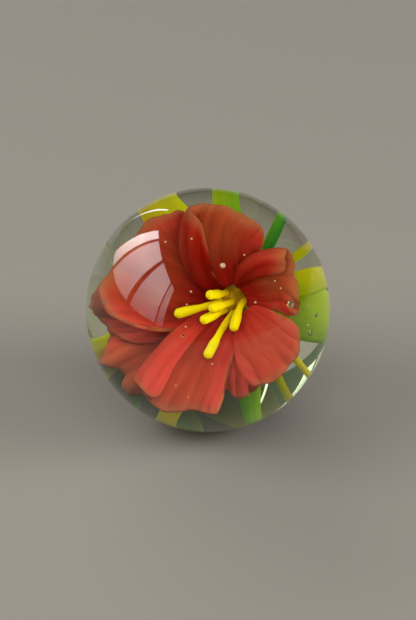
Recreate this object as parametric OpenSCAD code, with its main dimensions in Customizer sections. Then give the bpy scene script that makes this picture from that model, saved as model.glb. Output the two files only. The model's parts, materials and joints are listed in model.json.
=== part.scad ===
// Glass marble with a flower inside: a clear ball holding eight red petals, a green heart,
// yellow stamens, green leaves and a few trapped air bubbles. The ball's centre is the origin,
// +Z is up, and the flower looks out along -Y and upwards.

/* [Marble] */
// Diameter of the glass ball
marble_d = 30; // [25.5:0.5:40]

/* [Flower] */
// Angle by which the flower's face looks up from the level
face_up = 29; // [0:1:90]
// Distance of the flower's throat from the ball's centre, to the right
throat_right = 2; // [0:0.1:2.4]
// Distance of the throat from the ball's centre, towards the top of the face
throat_high = 0.7; // [0:0.1:1.1]
// Distance of the throat behind the ball's centre
throat_deep = 3.2; // [2.5:0.1:4]
// Angle by which the flower's axis leans to the left
lean_left = 8; // [0:1:12]
// Angle by which the flower's axis leans down
lean_down = 4; // [0:1:8]

/* [Petals] */
// Thickness of a petal away from its rim
petal_t = 0.65; // [0.4:0.05:0.8]
// Thickness of a petal at its rim
petal_rim_t = 0.35; // [0.2:0.05:0.6]
// Width of a wide petal where it starts, wrapped round the heart
petal_base_w = 2.6; // [2:0.05:2.8]
// Distance between the layers of petals at the throat
petal_layer = 1.0; // [0.9:0.05:1.3]

/* [Heart and stamens] */
// Diameter of the green heart in the throat
heart_d = 2.3; // [2:0.1:2.8]
// Clear glass between the heart and the petals
heart_gap = 0.35; // [0.25:0.05:0.5]
// Length of the stem that tapers back from the heart
stem_len = 2.4; // [2:0.1:2.8]
// Thickness of a stamen's stalk
stalk_d = 0.55; // [0.45:0.05:0.7]
// Thickness of a stamen's rounded end
club_d = 0.8; // [0.7:0.05:1]
// Length of the straight part of a stamen's end
club_len = 0.8; // [0.3:0.1:1.5]

/* [Leaves] */
// Thickness of a leaf
leaf_t = 0.45; // [0.3:0.05:0.7]
// Distance of the leaves behind the throat
leaf_deep = 3.1; // [2.9:0.1:3.6]
// Distance between the two layers of leaves
leaf_layer = 0.7; // [0.6:0.05:1]

/* [Bubbles] */
// Diameter of the largest air bubble
bubble_d = 0.75; // [0.3:0.05:0.9]

/* [Hidden] */
heart_r = heart_d / 2;
petal_start = heart_r + heart_gap;
// Steps across and along a petal and a leaf
petal_steps = [12, 9];
leaf_steps = [2, 6];
// Share of a half petal that stays flat before it curls, and where the curl ends
curl_from = 0.22;
curl_to = 0.85;
curl_samples = 16;
// How much further apart the layers of petals are at their tips
layer_spread = 0.5;
// Hollow across a leaf, as a share of its half width
leaf_cup = 0.15;
// Share of its width that a leaf has where it starts
leaf_base_share = 0.3;
// Most that a petal's base can wrap round the heart, as a share of its distance from the axis
wrap_share = 0.97;
// Shares of the heart's diameter that its stem has at its front, inside the heart, and at its back
stem_front = 0.96;
stem_back = 0.75;
// Shares of the heart's radius: the ring that the stamens stand on, and how deep their roots reach
stamen_ring = 0.72;
stamen_root = 0.8;

// A petal: name, layer, direction, turn of the direction along it, length, width, rise, droop,
// curl of the left side, curl of the right side, corner rounding, extra length of the left side,
// notch depth, notches, ruffle, share of the wide petals' width at its base, and how late it
// widens (1 is evenly along it)
PETALS = [
    ["petal_upper", 0.6, 124, -34, 6.9, 13.4, 3.6, 0.6, 185, 0, 0.6, 0.22, 0.03, 2, 0.1, 1, 0.55],
    ["petal_upper_right", -0.6, 52, -32, 5.5, 12.8, 2.6, 0.4, 200, 0, 0.45, 0.26, 0.05, 3, 0.12, 1.1, 0.8],
    ["petal_right", -1.5, -48, 6, 7.3, 9.0, 3.8, 1.0, 10, -30, 0.45, 0.02, 0.04, 3, 0.1, 0.6, 0.55],
    ["petal_bottom", 1.6, -88, 0, 5.7, 3.6, 2.4, 0.2, 0, 0, 0.3, 0.04, 0.04, 2, 0.1, 0.6, 0.55],
    ["petal_lower_left", 0.25, -134, 12, 9.1, 13.2, 4.2, 0.6, 40, 180, 0.2, -0.1, 0.12, 2, 0.1, 1, 0.75],
    ["petal_left_back", 3.35, -147, -2, 8.1, 7.2, 2.4, 0, 0, 0, 0.3, -0.04, 0.08, 3, 0.2, 0.6, 0.55],
    ["petal_left", 2.45, -174, -4, 8.4, 6.3, 2.0, 0, 10, 0, 0.45, 0, 0.05, 2, 0.15, 0.6, 0.55],
    ["petal_upper_left", 1.7, 167, -12, 8.1, 13.6, 3.0, 0, 70, 10, 0.4, 0.15, 0.07, 4, 0.15, 0.9, 0.55],
];

// A leaf: name, layer, direction, turn, distance from the axis to its start, length, width, rise
LEAVES = [
    ["leaf_top_left", 0, 142, -6, 1.7, 8.1, 3.4, -1.0],
    ["leaf_top", 1, 107, -4, 1.3, 7.9, 1.8, -0.4],
    ["leaf_top_right", 0, 64, 2, 1.3, 7.3, 0.8, -0.6],
    ["leaf_tip_right", 1, 38, 0, 1.3, 7.3, 0.6, 0.2],
    ["leaf_right_high", 0, 11, 4, 1.2, 6.8, 1.8, -0.4],
    ["leaf_right", 1, -17, 0, 1.2, 6.8, 3.6, 0.2],
    ["leaf_right_low", 0, -52, 0, 1.3, 6.9, 0.55, -0.3],
    ["leaf_bottom_right", 1, -71, 0, 1.8, 6.8, 0.5, -0.4],
    ["leaf_bottom", 0, -90, 0, 2.2, 6.6, 1.6, -0.8],
    ["leaf_bottom_left", 1, -126, 0, 2.2, 7.6, 2.0, -0.4],
    ["leaf_left", 1, -160, 0, 2.2, 7.8, 2.8, -0.6],
];

// A stamen: name, place round the heart (the first is at its middle), direction of its lean,
// lean at its start, bend along its stalk, length of its stalk
STAMENS = [
    ["stamen_long", 182, 193, 42, 20, 3.2],
    ["stamen_upper", 128, 170, 7, 14, 2.2],
    ["stamen_middle", -1, 194, 11, 12, 2.6],
    ["stamen_fork", 228, 206, 20, 14, 2.2],
    ["stamen_low", 275, 244, 17, 57, 4.2],
    ["stamen_short", 358, 262, 2, 54, 2.5],
];

// A bubble: how far right, high and forward of the ball's centre, in the face's directions, and
// its share of the largest bubble's diameter
BUBBLES = [
    [7.8, 0.5, 3.5, 1],
    [10.5, -0.5, 2, 0.6],
    [9.8, -2.2, 2, 0.75],
    [9.8, -1.5, 3, 0.25],
    [9.9, 0.4, 3, 0.25],
    [4.5, 0.7, 5, 0.3],
    [-2.4, -2.5, 5, 0.5],
    [-9.6, 0.7, 1, 0.4],
    [-1.7, 7.3, 7, 0.3],
    [-4.2, 6.7, 5, 0.3],
    [1.4, 4.2, 5, 0.7],
    [3.5, 5.3, 5, 0.25],
    [-1.6, 1.7, 5, 0.3],
    [0.4, -5.3, 6, 0.3],
    [-3.2, -7.5, 5, 0.25],
    [-2, -8.8, 5, 0.25],
    [-2, 0.5, 5, 0.2],
    [-2.1, -1.6, 5, 0.25],
    [6.5, 2.8, 5, 0.25],
    [7.1, 2.1, 5, 0.25],
];

// Sum of a list of numbers
function sum(v) = v * [for (x = v) 1];

// Unit vector along v
function unit(v) = v / norm(v);

// Share of its full curl that half a petal has at a share s of its width
function curl_share(s) =
    let (u = min(1, max(0, (s - curl_from) / (curl_to - curl_from))))
    u * u * (3 - 2 * u);

// Sideways and lift of a curled half petal at a share s of its width, for a half width of 1
function curl_point(curl, s) =
    let (turns = [for (k = [0:curl_samples - 1]) curl * curl_share(s * (k + 0.5) / curl_samples)])
    s / curl_samples * [sum([for (a = turns) cos(a)]), sum([for (a = turns) sin(a)])];

// Point of a sheet that runs out from the axis: s goes from -1 at its right side to 1 at its left
function petal_point(p, s, t) =
    let (
        reach = p[4] * (1 - p[10] * (1 - sqrt(max(0, 1 - s * s)))) * (1 + p[11] * s)
            * (1 - p[12] * (0.5 - 0.5 * cos(180 * p[13] * (s + 1)))),
        along = reach * t,
        share = along / p[4],
        base_w = min(petal_base_w * p[15], 2 * wrap_share * petal_start),
        half_w = (base_w + (p[5] - base_w) * pow(share, p[16])) / 2,
        curl = curl_point(s < 0 ? p[9] : p[8], abs(s)),
        curled = half_w * curl,
        height = p[6] * (1 - pow(1 - share, 2)) - p[7] * pow(share, 3)
            - petal_layer * p[1] * (1 + layer_spread * share),
        slope = atan2(2 * p[6] * (1 - share) - 3 * p[7] * pow(share, 2), p[4]),
        base = base_w / 2 * curl,
        wrap = petal_start - sqrt(pow(petal_start, 2) - pow(base.x, 2)) - base.y * sin(slope),
        direction = p[2] + p[3] * share,
        out = [cos(direction), sin(direction), 0],
        left = [-sin(direction), cos(direction), 0],
        up = [-sin(slope) * out.x, -sin(slope) * out.y, cos(slope)],
        lift = curled.y + p[14] * pow(share, 2) * cos(180 * p[13] * (s + 1))
    )
    out * (petal_start + along - wrap * pow(1 - share, 2)) + [0, 0, height] + left * sign(s) * curled.x + up * lift;

// Point of a leaf, in the same terms
function leaf_point(l, s, t) =
    let (
        half_w = l[6] / 2 * (1 - 0.5 * pow(t, 4))
            * (leaf_base_share + (1 - leaf_base_share) * sin(180 * pow(t, 0.8))),
        direction = l[2] + l[3] * t,
        out = [cos(direction), sin(direction), 0],
        left = [-sin(direction), cos(direction), 0]
    )
    out * (l[4] + l[5] * t) + left * s * half_w
        + [0, 0, l[7] * t - leaf_deep - leaf_layer * l[1] - leaf_cup * half_w * s * s];

// Unit normal of a grid of points at row j, column i
function grid_normal(g, j, i) =
    let (rows = len(g) - 1, cols = len(g[0]) - 1)
    unit(cross(g[j][min(i + 1, cols)] - g[j][max(i - 1, 0)], g[min(j + 1, rows)][i] - g[max(j - 1, 0)][i]));

// A closed sheet round a grid of points, given its thickness away from its rim and at its rim
module sheet(g, middle_t, rim_t) {
    rows = len(g) - 1;
    cols = len(g[0]) - 1;
    per_side = (rows + 1) * (cols + 1);
    function at(side, j, i) = side * per_side + j * (cols + 1) + i;
    function thick(j, i) = (i == 0 || i == cols || j == rows ? rim_t : middle_t) / 2;
    function quad(a, b, c, d) = [[a, b, c], [a, c, d]];
    points = [for (side = [1, -1]) for (j = [0:rows]) for (i = [0:cols])
        g[j][i] + side * thick(j, i) * grid_normal(g, j, i)];
    front = [for (j = [0:rows - 1]) for (i = [0:cols - 1])
        each quad(at(0, j, i), at(0, j + 1, i), at(0, j + 1, i + 1), at(0, j, i + 1))];
    back = [for (j = [0:rows - 1]) for (i = [0:cols - 1])
        each quad(at(1, j, i), at(1, j, i + 1), at(1, j + 1, i + 1), at(1, j + 1, i))];
    ends = [for (i = [0:cols - 1]) each concat(
        quad(at(0, 0, i), at(0, 0, i + 1), at(1, 0, i + 1), at(1, 0, i)),
        quad(at(0, rows, i + 1), at(0, rows, i), at(1, rows, i), at(1, rows, i + 1)))];
    sides = [for (j = [0:rows - 1]) each concat(
        quad(at(0, j + 1, 0), at(0, j, 0), at(1, j, 0), at(1, j + 1, 0)),
        quad(at(0, j, cols), at(0, j + 1, cols), at(1, j + 1, cols), at(1, j, cols)))];
    polyhedron(points = points, faces = concat(front, back, ends, sides));
}

// The face's directions: x to the right, y to its top, z out of it, from the ball's centre
module in_face() {
    rotate([90 - face_up, 0, 0]) children();
}

// The flower's own directions, from its throat
module in_flower() {
    in_face()
        translate([throat_right, throat_high, -throat_deep])
            rotate([lean_down, -lean_left, 0])
                children();
}

module petal(p) {
    color([0.78, 0.2, 0.16])
        in_flower()
            sheet([for (j = [0:petal_steps.y]) [for (i = [0:petal_steps.x])
                petal_point(p, sin(90 * (2 * i / petal_steps.x - 1)), j / petal_steps.y)]],
                petal_t, petal_rim_t);
}

module leaf(l) {
    color([0.45, 0.62, 0.1])
        in_flower()
            sheet([for (j = [0:leaf_steps.y]) [for (i = [0:leaf_steps.x])
                leaf_point(l, 2 * i / leaf_steps.x - 1, j / leaf_steps.y)]],
                leaf_t, leaf_t);
}

// A ball with a stem that tapers behind it
module heart_form() {
    sphere(d = heart_d, $fn = 48);
    translate([0, 0, -stem_len])
        cylinder(d1 = heart_d * stem_back, d2 = heart_d * stem_front, h = stem_len, $fn = 48);
}

module flower_heart() {
    color([0.3, 0.42, 0.06])
        in_flower() heart_form();
}

// A stalk that bends towards +X as it rises from the origin, with its rounded end
module bent_stamen(bend, stalk_len) {
    bend_r = stalk_len / (bend * PI / 180);
    translate([bend_r, 0, 0])
        rotate([90, 0, 180])
            rotate_extrude(angle = bend, $fn = 96)
                translate([bend_r, 0]) circle(d = stalk_d, $fn = 24);
    translate([bend_r * (1 - cos(bend)), 0, bend_r * sin(bend)])
        rotate([0, bend, 0]) {
            sphere(d = club_d, $fn = 24);
            cylinder(d = club_d, h = club_len, $fn = 24);
            translate([0, 0, club_len]) sphere(d = club_d, $fn = 24);
        }
}

// A whole stamen in its place, with its root still inside the heart
module rooted_stamen(s) {
    ring_r = s[1] < 0 ? 0 : heart_r * stamen_ring;
    root_h = stamen_root * sqrt(heart_r * heart_r - ring_r * ring_r);
    start = [ring_r * cos(s[1]), ring_r * sin(s[1]), root_h];
    in_flower()
        translate(start)
            rotate([0, 0, s[2]])
                rotate([0, s[3], 0])
                    bent_stamen(s[4], s[5]);
}

module stamen(s) {
    color([0.9, 0.75, 0.02])
        difference() {
            rooted_stamen(s);
            in_flower() heart_form();
        }
}

module bubbles() {
    in_face()
        for (b = BUBBLES)
            translate([b[0], b[1], b[2]]) sphere(d = bubble_d * b[3], $fn = 24);
}

// The ball, solid but for the coloured glass and the air inside it
module clear_glass() {
    color([0.86, 0.93, 0.86, 0.35])
        difference() {
            sphere(d = marble_d, $fn = 96);
            flower_heart();
            for (p = PETALS) petal(p);
            for (l = LEAVES) leaf(l);
            for (s = STAMENS) rooted_stamen(s);
            bubbles();
        }
}

clear_glass();
flower_heart();
for (p = PETALS) petal(p);
for (l = LEAVES) leaf(l);
for (s = STAMENS) stamen(s);
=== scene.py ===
"""Looks of the glass marble with a flower inside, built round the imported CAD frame.

Every coloured glass form repeats the CAD's own form, with its table of sizes, at a finer
resolution and with its ridges, wrinkles and rounded rims. Sizes here are in millimetres and
become metres where a mesh is made.
"""

import json
import math

import bpy
import numpy as np
from mathutils import Matrix, Vector

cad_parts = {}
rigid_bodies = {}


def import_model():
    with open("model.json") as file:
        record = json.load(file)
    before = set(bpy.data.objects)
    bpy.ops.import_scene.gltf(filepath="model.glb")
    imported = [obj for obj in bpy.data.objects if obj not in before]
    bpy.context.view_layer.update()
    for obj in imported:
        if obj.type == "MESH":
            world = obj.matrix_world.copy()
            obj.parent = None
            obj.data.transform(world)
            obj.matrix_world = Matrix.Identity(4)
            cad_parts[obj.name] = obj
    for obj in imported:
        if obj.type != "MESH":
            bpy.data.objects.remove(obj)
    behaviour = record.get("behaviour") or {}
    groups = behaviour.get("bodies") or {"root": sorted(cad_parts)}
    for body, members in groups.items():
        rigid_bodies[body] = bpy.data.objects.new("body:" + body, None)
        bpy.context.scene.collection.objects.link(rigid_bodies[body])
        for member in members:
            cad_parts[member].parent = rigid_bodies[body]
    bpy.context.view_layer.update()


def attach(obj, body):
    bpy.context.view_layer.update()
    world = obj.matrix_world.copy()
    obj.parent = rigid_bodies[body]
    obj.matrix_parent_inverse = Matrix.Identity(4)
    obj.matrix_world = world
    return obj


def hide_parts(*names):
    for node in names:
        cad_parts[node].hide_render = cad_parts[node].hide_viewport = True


MM = 0.001
BODY = "root"

# Sizes of the part, in millimetres and degrees, as the CAD has them
MARBLE_D = 30.0
FACE_UP = 29.0
THROAT = (2.0, 0.7, -3.2)
LEAN_DOWN = 4.0
LEAN_LEFT = 8.0
PETAL_T = 0.65
PETAL_RIM_T = 0.35
PETAL_BASE_W = 2.6
PETAL_LAYER = 1.0
HEART_R = 1.15
STEM_LEN = 2.4
STEM_FRONT = 0.96
STEM_BACK = 0.75
PETAL_START = 1.5
STALK_R = 0.275
CLUB_R = 0.4
CLUB_LEN = 0.8
LEAF_T = 0.45
LEAF_DEEP = 3.1
LEAF_LAYER = 0.7
BUBBLE_D = 0.75
CURL_FROM = 0.22
CURL_TO = 0.85
CURL_SAMPLES = 16
LAYER_SPREAD = 0.5
LEAF_CUP = 0.15
LEAF_BASE_SHARE = 0.3
WRAP_SHARE = 0.97
STAMEN_RING = 0.72
STAMEN_ROOT = 0.8

# Resolution of the pieces
PETAL_COLUMNS = 96
PETAL_ROWS = 64
LEAF_COLUMNS = 16
LEAF_ROWS = 40
TUBE_SIDES = 24
TUBE_RINGS = 60
HEART_SIDES = 48
BALL_CELLS = 72
BUBBLE_CELLS = 10

# Relief that is too fine for the CAD: heights of a petal's ridges, lumps and wrinkles, how far its
# tip is frayed, how far in from its rim it thins, and how drawn out the round at its base is
RIDGE_H = 0.07
LUMP_H = 0.12
WRINKLE_H = 0.07
FRAY = 0.09
THINS_FROM = 1.6
PETAL_ROUND = 2.6

# The same for a leaf: height of its lumps, and depth and share of its width of the crease along it
LEAF_LUMP_H = 0.07
CREASE_DEEP = 0.06
CREASE_SHARE = 0.2

# The same for a stamen and the heart, as shares of their thickness, and how far before its end a
# stamen's stalk begins to swell
KNOB_SHARE = 0.04
DENT_SHARE = 0.05
HEART_BUMP_SHARE = 0.04
HEART_BUMPS = 40
HEART_BUMP_SHARPNESS = 40
SWELL_LEN = 1.2

# First seed of the petals, the leaves and the stamens, and the heart's seed
PETAL_SEED = 11
LEAF_SEED = 31
STAMEN_SEED = 51
HEART_SEED = 5

# A petal: name, layer, direction, turn, length, width, rise, droop, curl of the left side,
# curl of the right side, corner rounding, extra length of the left side, notch depth, notches,
# ruffle, share of the wide petals' width at its base, and how late it widens
PETALS = [
    ("petal_upper", 0.6, 124, -34, 6.9, 13.4, 3.6, 0.6, 185, 0, 0.6, 0.22, 0.03, 2, 0.1, 1, 0.55),
    ("petal_upper_right", -0.6, 52, -32, 5.5, 12.8, 2.6, 0.4, 200, 0, 0.45, 0.26, 0.05, 3, 0.12, 1.1, 0.8),
    ("petal_right", -1.5, -48, 6, 7.3, 9.0, 3.8, 1.0, 10, -30, 0.45, 0.02, 0.04, 3, 0.1, 0.6, 0.55),
    ("petal_bottom", 1.6, -88, 0, 5.7, 3.6, 2.4, 0.2, 0, 0, 0.3, 0.04, 0.04, 2, 0.1, 0.6, 0.55),
    ("petal_lower_left", 0.25, -134, 12, 9.1, 13.2, 4.2, 0.6, 40, 180, 0.2, -0.1, 0.12, 2, 0.1, 1, 0.75),
    ("petal_left_back", 3.35, -147, -2, 8.1, 7.2, 2.4, 0, 0, 0, 0.3, -0.04, 0.08, 3, 0.2, 0.6, 0.55),
    ("petal_left", 2.45, -174, -4, 8.4, 6.3, 2.0, 0, 10, 0, 0.45, 0, 0.05, 2, 0.15, 0.6, 0.55),
    ("petal_upper_left", 1.7, 167, -12, 8.1, 13.6, 3.0, 0, 70, 10, 0.4, 0.15, 0.07, 4, 0.15, 0.9, 0.55),
]

# Tone of a petal, with painted light: brightness of its body, raised where the petal lies in shade,
# painted highlight or shade on its left rim, on its right rim and on its tip, how brown its middle is, and
# how many ridges run along it
PETAL_SHADES = {
    "petal_upper": (0.42, -0.35, 0.15, 0.1, 0.7, 9),
    "petal_upper_right": (0.45, -0.2, 0.15, 0.2, 0.8, 7),
    "petal_right": (0.76, 0.05, 0.35, 0.0, 0.3, 6),
    "petal_bottom": (1.0, 0.1, 0.1, 0.3, 0.1, 4),
    "petal_lower_left": (0.72, 0.2, 0.12, 0.15, 0.35, 9),
    "petal_left_back": (1.0, 0.1, 0.15, 0.2, 0.5, 7),
    "petal_left": (0.65, 0.2, 0.2, 0.2, 0.3, 5),
    "petal_upper_left": (0.36, 0.28, 0.2, 0.3, 0.5, 8),
}

# Width of a petal's thin rim at its left side, at its right side and at its tip
PETAL_RIMS = {
    "petal_upper": (0.2, 1.5, 1.2),
    "petal_upper_right": (0.2, 1.8, 1.5),
    "petal_right": (2.0, 0.4, 1.0),
    "petal_bottom": (0.4, 0.5, 0.5),
    "petal_lower_left": (0.5, 0.2, 1.0),
    "petal_left_back": (0.6, 0.8, 0.7),
    "petal_left": (0.6, 0.8, 0.8),
    "petal_upper_left": (0.3, 1.2, 1.0),
}

# A leaf: name, layer, direction, turn, distance from the axis to its start, length, width, rise,
# and how yellow and bright it is, raised as painted light where the leaf lies in shade
LEAVES = [
    ("leaf_top_left", 0, 142, -6, 1.7, 8.1, 3.4, -1.0, 1.0),
    ("leaf_top", 1, 107, -4, 1.3, 7.9, 1.8, -0.4, 0.6),
    ("leaf_top_right", 0, 64, 2, 1.3, 7.3, 0.8, -0.6, 0.2),
    ("leaf_tip_right", 1, 38, 0, 1.3, 7.3, 0.6, 0.2, 1.0),
    ("leaf_right_high", 0, 11, 4, 1.2, 6.8, 1.8, -0.4, 0.9),
    ("leaf_right", 1, -17, 0, 1.2, 6.8, 3.6, 0.2, 0.65),
    ("leaf_right_low", 0, -52, 0, 1.3, 6.9, 0.55, -0.3, 1.0),
    ("leaf_bottom_right", 1, -71, 0, 1.8, 6.8, 0.5, -0.4, 0.9),
    ("leaf_bottom", 0, -90, 0, 2.2, 6.6, 1.6, -0.8, 0.4),
    ("leaf_bottom_left", 1, -126, 0, 2.2, 7.6, 2.0, -0.4, 1.0),
    ("leaf_left", 1, -160, 0, 2.2, 7.8, 2.8, -0.6, 0.9),
]

# A stamen: name, place round the heart (None is its middle), direction of its lean, lean at its
# start, bend along its stalk, length of its stalk
STAMENS = [
    ("stamen_long", 182, 193, 42, 20, 3.2),
    ("stamen_upper", 128, 170, 7, 14, 2.2),
    ("stamen_middle", None, 194, 11, 12, 2.6),
    ("stamen_fork", 228, 206, 20, 14, 2.2),
    ("stamen_low", 275, 244, 17, 57, 4.2),
    ("stamen_short", 358, 262, 2, 54, 2.5),
]

# A bubble: right, high and forward of the ball's centre, and its share of the largest diameter.
# The clear ones come first.
BUBBLES = [
    (7.8, 0.5, 3.5, 1),
    (10.5, -0.5, 2, 0.6),
    (9.8, -2.2, 2, 0.75),
    (-9.6, 0.7, 1, 0.4),
    (-2.4, -2.5, 5, 0.5),
    (9.8, -1.5, 3, 0.25),
    (9.9, 0.4, 3, 0.25),
    (4.5, 0.7, 5, 0.3),
    (-1.7, 7.3, 7, 0.3),
    (-4.2, 6.7, 5, 0.3),
    (1.4, 4.2, 5, 0.7),
    (3.5, 5.3, 5, 0.25),
    (-1.6, 1.7, 5, 0.3),
    (0.4, -5.3, 6, 0.3),
    (-3.2, -7.5, 5, 0.25),
    (-2, -8.8, 5, 0.25),
    (-2, 0.5, 5, 0.2),
    (-2.1, -1.6, 5, 0.25),
    (6.5, 2.8, 5, 0.25),
    (7.1, 2.1, 5, 0.25),
]
CLEAR_BUBBLES = 5


# Directions of the face and of the flower
def turn(axis, degrees):
    return np.array(Matrix.Rotation(math.radians(degrees), 3, axis))


FACE = turn("X", 90 - FACE_UP)
FLOWER = turn("Y", -LEAN_LEFT) @ turn("X", LEAN_DOWN)


def from_face(points):
    return np.asarray(points, float) @ FACE.T


def from_flower(points):
    return from_face(np.asarray(points, float) @ FLOWER.T + np.array(THROAT))


# Helpers for shapes
def step(x, low, high):
    """0 below low, 1 above high and smooth between them."""
    u = np.clip((x - low) / (high - low), 0, 1)
    return u * u * (3 - 2 * u)


def soft_noise(rng, cells_u, cells_v, u, v):
    """Smooth noise from -1 to 1 over u and v from 0 to 1, with that many cells each way."""
    table = rng.uniform(-1, 1, (cells_u + 2, cells_v + 2))
    x = np.clip(u, 0, 1) * cells_u
    y = np.clip(v, 0, 1) * cells_v
    i = np.floor(x).astype(int)
    j = np.floor(y).astype(int)
    fx = step(x - i, 0, 1)
    fy = step(y - j, 0, 1)
    low = table[i, j] * (1 - fx) + table[i + 1, j] * fx
    high = table[i, j + 1] * (1 - fx) + table[i + 1, j + 1] * fx
    return low * (1 - fy) + high * fy


def cosd(a):
    return np.cos(np.radians(a))


def sind(a):
    return np.sin(np.radians(a))


def curl_point(curl, s):
    """Sideways and lift of a curled half petal at shares s of its width."""
    k = (np.arange(CURL_SAMPLES) + 0.5) / CURL_SAMPLES
    turns = curl[..., None] * step(s[..., None] * k, CURL_FROM, CURL_TO)
    return s * cosd(turns).mean(-1), s * sind(turns).mean(-1)


def petal_grid(p, s, t):
    """Middle of a petal's thickness in the flower's directions, at every s across and t along."""
    _, layer, direction, twist, length, width, rise, droop, left, right = p[:10]
    rounding, extra_left, notch, notches, ruffle, base_share, spread = p[10:]
    wave = cosd(180 * notches * (s + 1))
    reach = length * (1 - rounding * (1 - np.sqrt(np.maximum(0, 1 - s * s))))
    reach = reach * (1 + extra_left * s) * (1 - notch * (0.5 - 0.5 * wave))
    along = reach * t
    share = along / length
    base_w = min(PETAL_BASE_W * base_share, 2 * WRAP_SHARE * PETAL_START)
    half_w = (base_w + (width - base_w) * share**spread) / 2
    side, lift = curl_point(np.where(s < 0, float(right), float(left)), np.abs(s))
    height = rise * (1 - (1 - share) ** 2) - droop * share**3
    height = height - PETAL_LAYER * layer * (1 + LAYER_SPREAD * share)
    slope = np.arctan2(2 * rise * (1 - share) - 3 * droop * share**2, length)
    rounded = PETAL_START - np.sqrt(PETAL_START**2 - (base_w / 2 * side) ** 2)
    wrap = (rounded - base_w / 2 * lift * np.sin(slope)) * (1 - share) ** 2
    angle = direction + twist * share
    out = np.stack([cosd(angle), sind(angle), 0 * angle], -1)
    aside = np.stack([-sind(angle), cosd(angle), 0 * angle], -1)
    up = np.stack([-np.sin(slope) * out[..., 0], -np.sin(slope) * out[..., 1], np.cos(slope)], -1)
    lifted = half_w * lift + ruffle * share**2 * wave
    grid = out * (PETAL_START + along - wrap)[..., None] + aside * (np.sign(s) * half_w * side)[..., None]
    grid = grid + up * lifted[..., None]
    grid[..., 2] += height
    return grid


def leaf_grid(leaf, s, t):
    """The same for a leaf."""
    _, layer, direction, twist, start, length, width, rise = leaf[:8]
    swell = LEAF_BASE_SHARE + (1 - LEAF_BASE_SHARE) * sind(180 * t**0.8)
    half_w = width / 2 * (1 - 0.5 * t**4) * swell
    angle = direction + twist * t
    out = np.stack([cosd(angle), sind(angle), 0 * angle], -1)
    aside = np.stack([-sind(angle), cosd(angle), 0 * angle], -1)
    grid = out * (start + length * t)[..., None] + aside * (s * half_w)[..., None]
    grid[..., 2] += rise * t - LEAF_DEEP - LEAF_LAYER * layer - LEAF_CUP * half_w * s * s
    return grid


def grid_normals(grid):
    """Normals of a grid of points, which look away from the flower's face."""
    return unit(np.cross(np.gradient(grid, axis=1), np.gradient(grid, axis=0)))


def unit(v):
    return v / np.maximum(np.linalg.norm(v, axis=-1, keepdims=True), 1e-12)


def rim_distances(grid):
    """Distance of each grid point from the left side, the right side and the tip, along the sheet."""
    across = np.linalg.norm(np.diff(grid, axis=1), axis=-1)
    along = np.linalg.norm(np.diff(grid, axis=0), axis=-1)
    from_right = np.concatenate([np.zeros((len(grid), 1)), across.cumsum(1)], 1)
    from_left = from_right[:, -1:] - from_right
    from_base = np.concatenate([np.zeros((1, grid.shape[1])), along.cumsum(0)], 0)
    return from_left, from_right, from_base[-1:] - from_base


def rounded_sheet(grid, half):
    """Points and faces of a closed sheet round a grid, and the grid point that each is from.

    Half is half of its thickness at each grid point, and 0 at the rim, where both sides meet.
    """
    rows, columns = half.shape
    normals = grid_normals(grid)
    back = (grid + normals * half[..., None]).reshape(-1, 3)
    front = (grid - normals * half[..., None]).reshape(-1, 3)
    back_at = np.arange(rows * columns).reshape(rows, columns)
    rim = np.zeros((rows, columns), bool)
    rim[:, 0] = rim[:, -1] = rim[0] = rim[-1] = True
    front_at = back_at.copy()
    front_at[~rim] = rows * columns + np.arange((~rim).sum())
    points = np.concatenate([back, front[~rim.ravel()]])
    source = np.concatenate([back_at.ravel(), back_at[~rim]])
    faces = quads(back_at) + quads(front_at[:, ::-1])
    return points, faces, source


def round_base(grid, half, values, reach=1.0):
    """The same sheet with rows added behind its base, where it ends in a round.

    The round is as long as the sheet is thick to one side of its middle, times reach.
    """
    turned = np.radians([90, 68, 45, 22])[:, None]
    behind = grid[0] + unit(grid[0] - grid[1]) * (reach * half[0] * np.sin(turned))[..., None]
    grid = np.concatenate([behind, grid])
    half = np.concatenate([half[0] * np.cos(turned), half])
    values = {key: np.concatenate([data[:1].repeat(4, 0), data]) for key, data in values.items()}
    return grid, half, values


def quads(at):
    """Faces between the neighbours of a grid of point numbers."""
    corners = np.stack([at[:-1, :-1], at[:-1, 1:], at[1:, 1:], at[1:, :-1]], -1)
    return corners.reshape(-1, 4).tolist()


def add_piece(name, points, faces, material, values=None):
    """A smooth mesh piece on the body, which stands for the CAD node of its name."""
    mesh = bpy.data.meshes.new(name)
    mesh.from_pydata((np.asarray(points) * MM).tolist(), [], faces)
    mesh.polygons.foreach_set("use_smooth", [True] * len(mesh.polygons))
    for key, data in (values or {}).items():
        attribute = mesh.attributes.new(key, "FLOAT", "POINT")
        attribute.data.foreach_set("value", np.asarray(data, np.float32).ravel())
    mesh.materials.append(material)
    mesh.update()
    piece = bpy.data.objects.new(name + "_look", mesh)
    bpy.context.scene.collection.objects.link(piece)
    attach(piece, BODY)
    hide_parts(name)
    return piece


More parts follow.
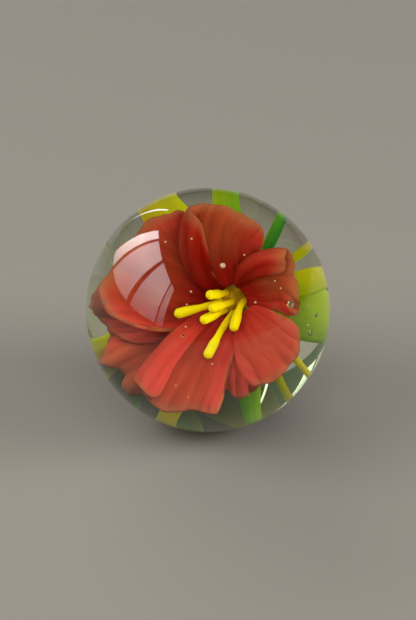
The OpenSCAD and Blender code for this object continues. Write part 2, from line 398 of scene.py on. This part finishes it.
# Materials
class Nodes:
    """A material's node tree, with short calls that add a node and link its inputs."""

    def __init__(self, name):
        self.material = bpy.data.materials.new(name)
        self.material.use_nodes = True
        self.tree = self.material.node_tree
        self.tree.nodes.clear()
        self.out = self.add("ShaderNodeOutputMaterial")

    def add(self, kind, inputs=None, **settings):
        node = self.tree.nodes.new(kind)
        for key, value in settings.items():
            setattr(node, key, value)
        for key, value in (inputs or {}).items():
            if isinstance(value, bpy.types.NodeSocket):
                self.tree.links.new(value, node.inputs[key])
            else:
                node.inputs[key].default_value = value
        return node

    def math(self, operation, a, b):
        return self.add("ShaderNodeMath", {0: a, 1: b}, operation=operation).outputs[0]

    def value(self, name):
        """Value that the mesh holds at each point under that name."""
        node = self.add("ShaderNodeAttribute", attribute_name=name)
        return node.outputs["Fac"]

    def streaks(self, across, along, detail=3.0):
        """Noise drawn out along a sheet."""
        place = self.add(
            "ShaderNodeCombineXYZ",
            {
                "X": self.math("MULTIPLY", self.value("across"), across),
                "Y": self.math("MULTIPLY", self.value("along"), along),
                "Z": self.value("seed"),
            },
        )
        noise = self.add(
            "ShaderNodeTexNoise",
            {"Vector": place.outputs[0], "Scale": 1.0, "Detail": detail, "Roughness": 0.55},
        )
        return noise.outputs[0]

    def mottle(self, scale, detail=3.0):
        """Noise that is the same in all directions."""
        place = self.add("ShaderNodeTexCoord")
        noise = self.add(
            "ShaderNodeTexNoise",
            {"Vector": place.outputs["Object"], "Scale": scale, "Detail": detail},
        )
        return noise.outputs[0]

    def ramp(self, factor, stops):
        node = self.add("ShaderNodeValToRGB", {"Fac": factor})
        ramp = node.color_ramp
        while len(ramp.elements) < len(stops):
            ramp.elements.new(0.5)
        for element, (place, colour) in zip(ramp.elements, stops):
            element.position = place
            element.color = (*colour, 1)
        return node.outputs[0]

    def mix(self, factor, a, b):
        """Colour a where the factor is 0 and colour b where it is 1."""
        node = self.add("ShaderNodeMix", data_type="RGBA")
        for socket, value in ((node.inputs[0], factor), (node.inputs[6], a), (node.inputs[7], b)):
            if isinstance(value, bpy.types.NodeSocket):
                self.tree.links.new(value, socket)
            else:
                socket.default_value = (*value, 1)
        return node.outputs[2]

    def bump(self, height, distance, strength=1.0):
        node = self.add(
            "ShaderNodeBump", {"Height": height, "Distance": distance, "Strength": strength}
        )
        return node.outputs[0]

    def lit_through(self, shader, colour, share):
        """A share of the light that falls on a thin sheet comes out of its other side."""
        through = self.add("ShaderNodeBsdfTranslucent", {"Color": colour})
        return self.add("ShaderNodeMixShader", {0: share, 1: shader, 2: through.outputs[0]}).outputs[0]

    def finish(self, shader):
        self.tree.links.new(shader, self.out.inputs["Surface"])
        return self.material


def petal_glass():
    """Red glass, brown in the middle and pale where thin, with painted shade deep in the throat and
    painted highlights and shade on the rims.
    """
    n = Nodes("petal_glass")
    coarse = n.streaks(7.0, 1.2)
    fine = n.streaks(34.0, 2.0, 5.0)
    tone = n.math("ADD", n.value("tone_and_painted_light"), n.math("MULTIPLY", n.math("SUBTRACT", coarse, 0.5), 0.35))
    tone = n.math("ADD", tone, n.math("MULTIPLY", n.math("SUBTRACT", fine, 0.5), 0.4))
    red = n.ramp(
        tone,
        [
            (0.0, (0.28, 0.003, 0.001)),
            (0.3, (0.44, 0.014, 0.007)),
            (0.6, (0.60, 0.040, 0.026)),
            (0.85, (0.72, 0.064, 0.044)),
            (1.0, (0.80, 0.088, 0.062)),
        ],
    )
    brown = n.ramp(
        tone,
        [
            (0.0, (0.26, 0.030, 0.008)),
            (0.5, (0.42, 0.085, 0.026)),
            (1.0, (0.58, 0.16, 0.05)),
        ],
    )
    colour = n.mix(n.value("brown"), red, brown)
    pale = n.math("MULTIPLY", n.value("thin"), n.math("ADD", fine, 0.1))
    colour = n.mix(pale, colour, (0.48, 0.18, 0.07))
    shine = n.ramp(fine, [(0.3, (0.5, 0.5, 0.5)), (0.7, (0.7, 0.7, 0.7))])
    shader = n.add(
        "ShaderNodeBsdfPrincipled",
        {
            "Base Color": colour,
            "Roughness": shine,
            "Specular IOR Level": 0.05,
            "Normal": n.bump(fine, 0.0001, 0.8),
        },
    )
    return n.finish(n.lit_through(shader.outputs[0], colour, 0.35))


def leaf_glass():
    """Green glass: from yellow to leaf green, with veins along it, and painted light that brightens leaves
    lying in shade towards yellow.
    """
    n = Nodes("leaf_glass")
    veins = n.streaks(9.0, 1.5, 4.0)
    tone = n.math("ADD", n.value("tone_and_painted_light"), n.math("MULTIPLY", n.math("SUBTRACT", veins, 0.5), 0.3))
    colour = n.ramp(
        tone,
        [
            (0.0, (0.03, 0.30, 0.03)),
            (0.3, (0.28, 0.66, 0.03)),
            (0.6, (0.64, 0.84, 0.02)),
            (1.0, (0.95, 0.83, 0.006)),
        ],
    )
    shader = n.add(
        "ShaderNodeBsdfPrincipled",
        {
            "Base Color": colour,
            "Roughness": 0.55,
            "Specular IOR Level": 0.05,
            "Normal": n.bump(veins, 0.00005, 0.5),
        },
    )
    return n.finish(n.lit_through(shader.outputs[0], colour, 0.5))


def stamen_glass():
    """Yellow glass, with painted shade darkening it towards the stalk's root in the throat."""
    n = Nodes("stamen_glass")
    blotch = n.mottle(1400.0)
    colour = n.ramp(
        n.math("ADD", n.value("tone_and_painted_light"), n.math("MULTIPLY", n.math("SUBTRACT", blotch, 0.5), 0.3)),
        [
            (0.0, (0.55, 0.40, 0.002)),
            (0.45, (0.88, 0.66, 0.002)),
            (1.0, (0.95, 0.77, 0.003)),
        ],
    )
    shader = n.add(
        "ShaderNodeBsdfPrincipled",
        {
            "Base Color": colour,
            "Roughness": 0.45,
            "Specular IOR Level": 0.1,
            "Normal": n.bump(blotch, 0.00004, 0.5),
        },
    )
    return n.finish(shader.outputs[0])


def heart_glass():
    """Dark yellow-brown glass in blotches."""
    n = Nodes("heart_glass")
    blotch = n.mottle(1800.0)
    colour = n.ramp(
        blotch,
        [
            (0.3, (0.17, 0.09, 0.002)),
            (0.55, (0.28, 0.145, 0.003)),
            (0.75, (0.50, 0.27, 0.004)),
        ],
    )
    shader = n.add(
        "ShaderNodeBsdfPrincipled",
        {
            "Base Color": colour,
            "Roughness": 0.5,
            "Specular IOR Level": 0.05,
            "Normal": n.bump(blotch, 0.0001, 0.6),
        },
    )
    return n.finish(shader.outputs[0])


def clear_glass():
    """Clear glass with a trace of green, which lets the lamps' light in to the flower."""
    n = Nodes("clear_glass")
    glass = n.add(
        "ShaderNodeBsdfPrincipled",
        {
            "Base Color": (0.91, 0.94, 0.76, 1),
            "Roughness": 0.0,
            "IOR": 1.5,
            "Transmission Weight": 1.0,
        },
    )
    leaving = n.add("ShaderNodeNewGeometry").outputs["Backfacing"]
    shade = n.mix(leaving, (0.07, 0.055, 0.025), (0.98, 0.99, 0.94))
    through = n.add("ShaderNodeBsdfTransparent", {"Color": shade})
    path = n.add("ShaderNodeLightPath")
    mixed = n.add(
        "ShaderNodeMixShader",
        {0: path.outputs["Is Shadow Ray"], 1: glass.outputs[0], 2: through.outputs[0]},
    )
    return n.finish(mixed.outputs[0])


def bubble_painted_reflection():
    """Pale opaque coat of the smallest bubbles, a painted reflection of the bright surroundings that air
    bubbles in glass show.
    """
    n = Nodes("bubble_painted_reflection")
    colour = n.ramp(n.mottle(2500.0), [(0.3, (0.42, 0.26, 0.17)), (0.7, (0.66, 0.46, 0.33))])
    shader = n.add("ShaderNodeBsdfPrincipled", {"Base Color": colour, "Roughness": 0.4})
    return n.finish(shader.outputs[0])


# Pieces
def make_petal(p, material, seed):
    """A petal as the CAD has it, with ridges, lumps, wrinkles and a frayed tip."""
    rng = np.random.default_rng(seed)
    across = np.sin(np.pi / 2 * np.linspace(-1, 1, PETAL_COLUMNS + 1))
    along = np.sin(np.pi / 2 * np.linspace(0, 1, PETAL_ROWS + 1))
    s, t = np.meshgrid(across, along)
    body, left, right, tip, brown, ridges = PETAL_SHADES[p[0]]
    u = (s + 1) / 2
    grid = petal_grid(p, s, t)
    drift = soft_noise(rng, 4, 3, u, t)
    ridge = np.cos(2 * np.pi * (ridges * u + 0.35 * drift))
    wrinkle = soft_noise(rng, 22, 5, u, t) * (1 - step(np.abs(s), 0.7, 0.95))
    lumps = soft_noise(rng, 6, 5, u, t)
    rise = t * (RIDGE_H * ridge + LUMP_H * lumps + WRINKLE_H * wrinkle)
    grid = grid + grid_normals(grid) * rise[..., None]
    frayed = FRAY * soft_noise(rng, 26, 1, u, 0 * t) * step(t, 0.75, 1)
    grid = grid + unit(np.gradient(grid, axis=0)) * frayed[..., None]
    from_rims = rim_distances(grid)
    d = np.minimum.reduce(from_rims)
    rim = PETAL_RIM_T / 2
    half = rim + (PETAL_T / 2 - rim) * step(d, 0, THINS_FROM)
    half = half * np.sqrt(1 - (1 - np.clip(d / rim, 0, 1)) ** 2)
    # Painted light in the tone: the body raised where the petal lies in shade, painted highlights or shade
    # on the rims and tip, painted shade towards the base in the throat, and ridge crests painted lighter
    # than their troughs
    tone_and_painted_light = body + left * step(s, 0.35, 0.95) + right * step(-s, 0.35, 0.95)
    tone_and_painted_light = tone_and_painted_light + tip * step(t, 0.6, 1) - 0.2 * (1 - step(t, 0.05, 0.6)) + 0.05 * ridge
    brown = brown * step(t, 0.1, 0.5) * (1 - step(np.abs(s + 0.15 * drift), 0.3, 0.95))
    thin = np.zeros_like(s)
    for from_rim, width in zip(from_rims, PETAL_RIMS[p[0]]):
        reach = np.maximum(width * (1 + 0.5 * drift) * step(t, 0.3, 0.6), 0.01)
        thin = np.maximum(thin, 1 - step(from_rim / reach, 0, 1))
    values = {"across": s, "along": t, "tone_and_painted_light": tone_and_painted_light, "brown": brown, "thin": thin}
    values["seed"] = 0 * s + seed
    grid, half, values = round_base(grid, half, values, PETAL_ROUND)
    points, faces, source = rounded_sheet(from_flower(grid), half)
    values = {key: data.ravel()[source] for key, data in values.items()}
    add_piece(p[0], points, faces, material, values)


def make_leaf(leaf, material, seed):
    """A leaf as the CAD has it, with soft lumps and a crease along it."""
    rng = np.random.default_rng(seed)
    across = np.sin(np.pi / 2 * np.linspace(-1, 1, LEAF_COLUMNS + 1))
    along = np.sin(np.pi / 2 * np.linspace(0, 1, LEAF_ROWS + 1))
    s, t = np.meshgrid(across, along)
    grid = leaf_grid(leaf, s, t)
    rise = LEAF_LUMP_H * t * soft_noise(rng, 3, 5, (s + 1) / 2, t)
    rise = rise - CREASE_DEEP * np.exp(-((s / CREASE_SHARE) ** 2)) * t
    grid = grid + grid_normals(grid) * rise[..., None]
    d = np.minimum.reduce(rim_distances(grid))
    rim = LEAF_T / 2
    half = rim * np.sqrt(1 - (1 - np.clip(d / rim, 0, 1)) ** 2)
    # Leaf tone with painted light: raised where the leaf lies in shade, with painted shade darkening it
    # towards its base under the petals, and lighter towards one side
    tone_and_painted_light = leaf[8] - 0.18 * (1 - t) + 0.12 * s
    values = {"across": s, "along": t, "tone_and_painted_light": tone_and_painted_light, "seed": 0 * s + seed}
    grid, half, values = round_base(grid, half, values)
    points, faces, source = rounded_sheet(from_flower(grid), half)
    values = {key: data.ravel()[source] for key, data in values.items()}
    add_piece(leaf[0], points, faces, material, values)


def make_stamen(stamen, material, seed):
    """A bent stalk with a rounded end, made along +X and then turned and put on the heart."""
    name, place, lean_to, lean, bend, stalk_len = stamen
    rng = np.random.default_rng(seed)
    ring_r = 0 if place is None else HEART_R * STAMEN_RING
    root_h = STAMEN_ROOT * math.sqrt(HEART_R**2 - ring_r**2)
    start = [ring_r * cosd(place or 0), ring_r * sind(place or 0), root_h]
    bend_r = stalk_len / math.radians(bend)
    total = stalk_len + CLUB_LEN + CLUB_R
    t = np.linspace(0, 1, TUBE_RINGS + 1)
    length = total * np.sin(np.pi / 2 * t)
    angle = np.minimum(length, stalk_len) / bend_r
    extra = np.maximum(length - stalk_len, 0)
    centre = np.stack(
        [
            bend_r * (1 - np.cos(angle)) + extra * math.sin(math.radians(bend)),
            0 * angle,
            bend_r * np.sin(angle) + extra * math.cos(math.radians(bend)),
        ],
        -1,
    )
    ahead = np.stack([np.sin(angle), 0 * angle, np.cos(angle)], -1)
    beside = np.stack([np.cos(angle), 0 * angle, -np.sin(angle)], -1)
    radius = STALK_R + (CLUB_R - STALK_R) * step(length, stalk_len - SWELL_LEN, stalk_len)
    from_end = np.clip((total - length) / CLUB_R, 0, 1)
    radius = radius * np.sqrt(np.maximum(1 - (1 - from_end) ** 2, 0))
    around = np.linspace(0, 2 * np.pi, TUBE_SIDES, endpoint=False)
    knobs = 1 + KNOB_SHARE * soft_noise(rng, 9, 1, t, 0 * t)
    ring = np.cos(around)[None, :, None] * beside[:, None] + np.sin(around)[None, :, None] * [0, 1, 0]
    share_around, share_along = np.meshgrid(around / (2 * np.pi), t)
    dents = DENT_SHARE * soft_noise(rng, 12, 5, share_along, share_around)
    dents = dents * np.sin(around / 2)
    radii = (radius * knobs)[:, None] * (1 + dents)
    points = (centre[:, None] + ring * radii[..., None])[:-1].reshape(-1, 3)
    points = np.concatenate([points, centre[:1], centre[-1:]])
    at = np.arange(TUBE_RINGS * TUBE_SIDES).reshape(TUBE_RINGS, TUBE_SIDES)
    at = np.concatenate([at, at[:, :1]], 1)
    faces = quads(at)
    root, end = len(points) - 2, len(points) - 1
    faces += [[int(at[0, i + 1]), int(at[0, i]), root] for i in range(TUBE_SIDES)]
    faces += [[int(at[-1, i]), int(at[-1, i + 1]), end] for i in range(TUBE_SIDES)]
    points = points @ turn("Y", lean).T @ turn("Z", lean_to).T + np.array(start)
    # Painted shade: darker towards the stalk's root, which stands in the throat
    tone_and_painted_light = np.repeat(0.25 + 0.75 * step(length[:-1] / total, 0.1, 0.8), TUBE_SIDES)
    tone_and_painted_light = np.concatenate([tone_and_painted_light, [0.25, 1.0]])
    add_piece(name, from_flower(points), faces, material, {"tone_and_painted_light": tone_and_painted_light})


def ball(radius, columns, inward=False):
    """Points and faces of a ball whose grid is a cube's, so that it has no poles."""
    line = np.tan(np.linspace(-1, 1, columns + 1) * np.pi / 4)
    a, b = np.meshgrid(line, line)
    one = np.ones_like(a)
    points = []
    faces = []
    for axis in range(3):
        for side in (1, -1):
            face = np.roll(np.stack([side * one, a, b * side], -1), axis, -1)
            at = len(points) * a.size + np.arange(a.size).reshape(a.shape)
            points.append(unit(face).reshape(-1, 3) * radius)
            faces += quads(at[::-1] if inward else at)
    points = np.concatenate(points)
    keys = np.round(points / radius * 1e5).astype(int)
    _, first, same = np.unique(keys, axis=0, return_index=True, return_inverse=True)
    same = same.ravel()
    return points[first], [[int(same[k]) for k in face] for face in faces]


def make_heart(material):
    """A bead whose stem tapers back, turned about the flower's axis, with small bumps."""
    rng = np.random.default_rng(HEART_SEED)
    drop = STEM_LEN - 0.3 * HEART_R
    turned = np.linspace(0, 1, 25)[:, None] * np.radians(107)
    bend = np.concatenate([HEART_R * np.sin(turned), HEART_R * np.cos(turned)], 1)
    along = np.linspace(0.08, 1, 12)[:, None]
    taper = HEART_R * (STEM_FRONT + (STEM_BACK - STEM_FRONT) * along)
    stem = np.concatenate([taper, -0.3 * HEART_R - drop * along], 1)
    profile = np.concatenate([bend[1:], stem])
    around = np.linspace(0, 2 * np.pi, HEART_SIDES, endpoint=False)
    rings = np.stack(
        [
            profile[:, :1] * np.cos(around),
            profile[:, :1] * np.sin(around),
            profile[:, 1:] + 0 * around,
        ],
        -1,
    )
    bumps = unit(rng.normal(size=(HEART_BUMPS, 3)))
    near = np.exp((unit(rings) @ bumps.T - 1) * HEART_BUMP_SHARPNESS).sum(-1)
    rings[..., :2] *= (0.97 + HEART_BUMP_SHARE * np.minimum(near, 1))[..., None]
    count = len(profile) * HEART_SIDES
    at = np.arange(count).reshape(len(profile), HEART_SIDES)
    at = np.concatenate([at, at[:, :1]], 1)
    points = np.concatenate([rings.reshape(-1, 3), [[0, 0, HEART_R], [0, 0, -STEM_LEN]]])
    faces = quads(at[::-1])
    faces += [[int(at[0, i]), int(at[0, i + 1]), count] for i in range(HEART_SIDES)]
    faces += [[int(at[-1, i + 1]), int(at[-1, i]), count + 1] for i in range(HEART_SIDES)]
    add_piece("flower_heart", from_flower(points), faces, material)


def make_glass(material, painted_reflection):
    """The clear ball and its bubbles, the last of which have the pale painted reflection."""
    points, faces = ball(MARBLE_D / 2, BALL_CELLS)
    points = [points]
    count = len(points[0])
    faces_each = 6 * BUBBLE_CELLS**2
    painted_reflection_from = len(faces) + CLEAR_BUBBLES * faces_each
    for right, high, forward, share in BUBBLES:
        inner, inner_faces = ball(BUBBLE_D * share / 2, BUBBLE_CELLS, inward=True)
        points.append(inner + from_face([[right, high, forward]]))
        faces += [[k + count for k in face] for face in inner_faces]
        count += len(inner)
    piece = add_piece("clear_glass", np.concatenate(points), faces, material)
    piece.data.materials.append(painted_reflection)
    for polygon in piece.data.polygons[painted_reflection_from:]:
        polygon.material_index = 1


# Light, floor and camera

# Lamps that the glass doesn't show: name, place, width, height, energy and colour, in metres and
# watts. The fill lamp lights the marble alone.
WHITE = (1.0, 1.0, 1.0)
LAMPS = [
    ("key", (-0.5, -0.12, 0.36), 0.5, 0.4, 3.0, (1.0, 0.985, 0.96)),
    ("front", (0.05, -0.52, 0.66), 0.7, 0.5, 3.2, WHITE),
    ("fill", (0.08, -0.68, 0.4), 0.35, 0.25, 4.4, WHITE),
    ("right", (0.62, -0.15, 0.3), 0.4, 0.3, 4.4, WHITE),
    ("back", (-0.35, 0.75, 0.45), 0.8, 0.4, 4.0, WHITE),
]

# Panes of the window that the glass mirrors: from and to along Y, from and to in height, energy
WINDOW_X = -0.4
PANES = [
    (-0.44, -0.35, 0.07, 0.52, 0.4),
    (-0.33, -0.07, 0.07, 0.52, 1.8),
    (-0.03, 0.22, 0.07, 0.52, 2.3),
    (0.255, 0.39, 0.07, 0.52, 2.0),
    (1.0, 1.06, 0.0, 0.57, 0.9),
]

# How dim a pane is at its sill, and the share of its height at which it is as bright as written
SILL_LEVEL = 0.3
SILL_SHARE = 0.55

# What is seen of the panes through the glass: share of their energy, tint, and how far behind the
# mirrored ones they stand
PANE_INSIDE = 0.16
PANE_TINT = (0.88, 1.0, 0.75)
PANE_GAP = 0.01

# The camera's distance from the ball's centre, its height as an angle, and its lens
CAMERA_AWAY = 0.291
CAMERA_UP = 28.8
CAMERA_LENS = 137.5

# Half of the floor's width
FLOOR_REACH = 4.0


def aim(thing, target=(0, 0, 0)):
    away = Vector(thing.location) - Vector(target)
    thing.rotation_euler = away.to_track_quat("Z", "Y").to_euler()


def add_lamp(name, place, target, width, height, energy, colour=WHITE):
    lamp = bpy.data.lights.new(name, "AREA")
    lamp.shape = "RECTANGLE"
    lamp.size = width
    lamp.size_y = height
    lamp.energy = energy
    lamp.color = colour
    holder = bpy.data.objects.new(name, lamp)
    holder.location = place
    bpy.context.scene.collection.objects.link(holder)
    aim(holder, target)
    holder.visible_camera = False
    return holder


def fade_low(lamp):
    """Dims the lower part of an upright lamp, as a window is dimmer towards its sill."""
    lamp.use_nodes = True
    nodes = lamp.node_tree.nodes
    links = lamp.node_tree.links
    place = nodes.new("ShaderNodeNewGeometry")
    apart = nodes.new("ShaderNodeSeparateXYZ")
    links.new(place.outputs["Parametric"], apart.inputs[0])
    level = nodes.new("ShaderNodeMapRange")
    level.inputs["From Max"].default_value = SILL_SHARE
    level.inputs["To Min"].default_value = SILL_LEVEL
    links.new(apart.outputs["Y"], level.inputs["Value"])
    links.new(level.outputs[0], nodes["Emission"].inputs["Strength"])


def keep_off_floor(lamp):
    """Lets a lamp light the marble alone, so that it doesn't thin out the shadow under it."""
    marble = bpy.data.collections.new("marble")
    for piece in bpy.context.scene.objects:
        if piece.name.endswith("_look"):
            marble.objects.link(piece)
    lamp.light_linking.receiver_collection = marble


def make_floor():
    z = -MARBLE_D / 2 * MM
    mesh = bpy.data.meshes.new("floor")
    corners = [(x * FLOOR_REACH, y * FLOOR_REACH, z) for x, y in ((-1, -1), (1, -1), (1, 1), (-1, 1))]
    mesh.from_pydata(corners, [], [(0, 1, 2, 3)])
    n = Nodes("floor")
    shader = n.add(
        "ShaderNodeBsdfPrincipled",
        {"Base Color": (0.25, 0.227, 0.202, 1), "Roughness": 0.9, "Specular IOR Level": 0.1},
    )
    mesh.materials.append(n.finish(shader.outputs[0]))
    floor = bpy.data.objects.new("floor", mesh)
    bpy.context.scene.collection.objects.link(floor)


def make_world():
    """Dim light from all round, a little brighter and greener from the window's side."""
    world = bpy.data.worlds.new("studio")
    bpy.context.scene.world = world
    world.use_nodes = True
    tree = world.node_tree
    tree.nodes.clear()
    place = tree.nodes.new("ShaderNodeTexCoord")
    apart = tree.nodes.new("ShaderNodeSeparateXYZ")
    tree.links.new(place.outputs["Generated"], apart.inputs[0])
    ramp = tree.nodes.new("ShaderNodeValToRGB")
    from_window = tree.nodes.new("ShaderNodeMapRange")
    from_window.inputs["From Min"].default_value = -0.9
    from_window.inputs["From Max"].default_value = -0.1
    tree.links.new(apart.outputs["X"], from_window.inputs["Value"])
    tree.links.new(from_window.outputs[0], ramp.inputs["Fac"])
    ramp.color_ramp.elements[0].color = (0.11, 0.16, 0.085, 1)
    ramp.color_ramp.elements[1].color = (0.025, 0.03, 0.02, 1)
    light = tree.nodes.new("ShaderNodeBackground")
    tree.links.new(ramp.outputs[0], light.inputs["Color"])
    out = tree.nodes.new("ShaderNodeOutputWorld")
    tree.links.new(light.outputs[0], out.inputs["Surface"])


def make_lights():
    for name, place, width, height, energy, colour in LAMPS:
        lamp = add_lamp(name, place, (0, 0, 0), width, height, energy, colour)
        lamp.visible_glossy = False
        lamp.visible_transmission = False
    keep_off_floor(bpy.data.objects["fill"])
    for i, (y0, y1, z0, z1, energy) in enumerate(PANES):
        y, z = (y0 + y1) / 2, (z0 + z1) / 2
        size = (y1 - y0, z1 - z0)
        mirrored = add_lamp(f"pane_{i}", (WINDOW_X, y, z), (0, y, z), *size, energy)
        mirrored.visible_diffuse = False
        mirrored.visible_transmission = False
        fade_low(mirrored.data)
        behind = (WINDOW_X - PANE_GAP, y, z)
        inside = add_lamp(f"glow_{i}", behind, (0, y, z), *size, energy * PANE_INSIDE, PANE_TINT)
        inside.visible_diffuse = False
        inside.visible_glossy = False


def make_camera():
    data = bpy.data.cameras.new("camera")
    data.sensor_width = 36
    data.lens = CAMERA_LENS
    camera = bpy.data.objects.new("camera", data)
    bpy.context.scene.collection.objects.link(camera)
    up = math.radians(CAMERA_UP)
    camera.location = (0, -CAMERA_AWAY * math.cos(up), CAMERA_AWAY * math.sin(up))
    aim(camera)
    bpy.context.scene.camera = camera


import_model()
petal_material = petal_glass()
leaf_material = leaf_glass()
stamen_material = stamen_glass()
for number, row in enumerate(PETALS):
    make_petal(row, petal_material, PETAL_SEED + number)
for number, row in enumerate(LEAVES):
    make_leaf(row, leaf_material, LEAF_SEED + number)
for number, row in enumerate(STAMENS):
    make_stamen(row, stamen_material, STAMEN_SEED + number)
make_heart(heart_glass())
make_glass(clear_glass(), bubble_painted_reflection())
make_floor()
make_world()
make_lights()
make_camera()
bpy.context.scene.view_settings.view_transform = "Standard"
bpy.context.scene.cycles.caustics_refractive = False
bpy.context.scene.cycles.caustics_reflective = False
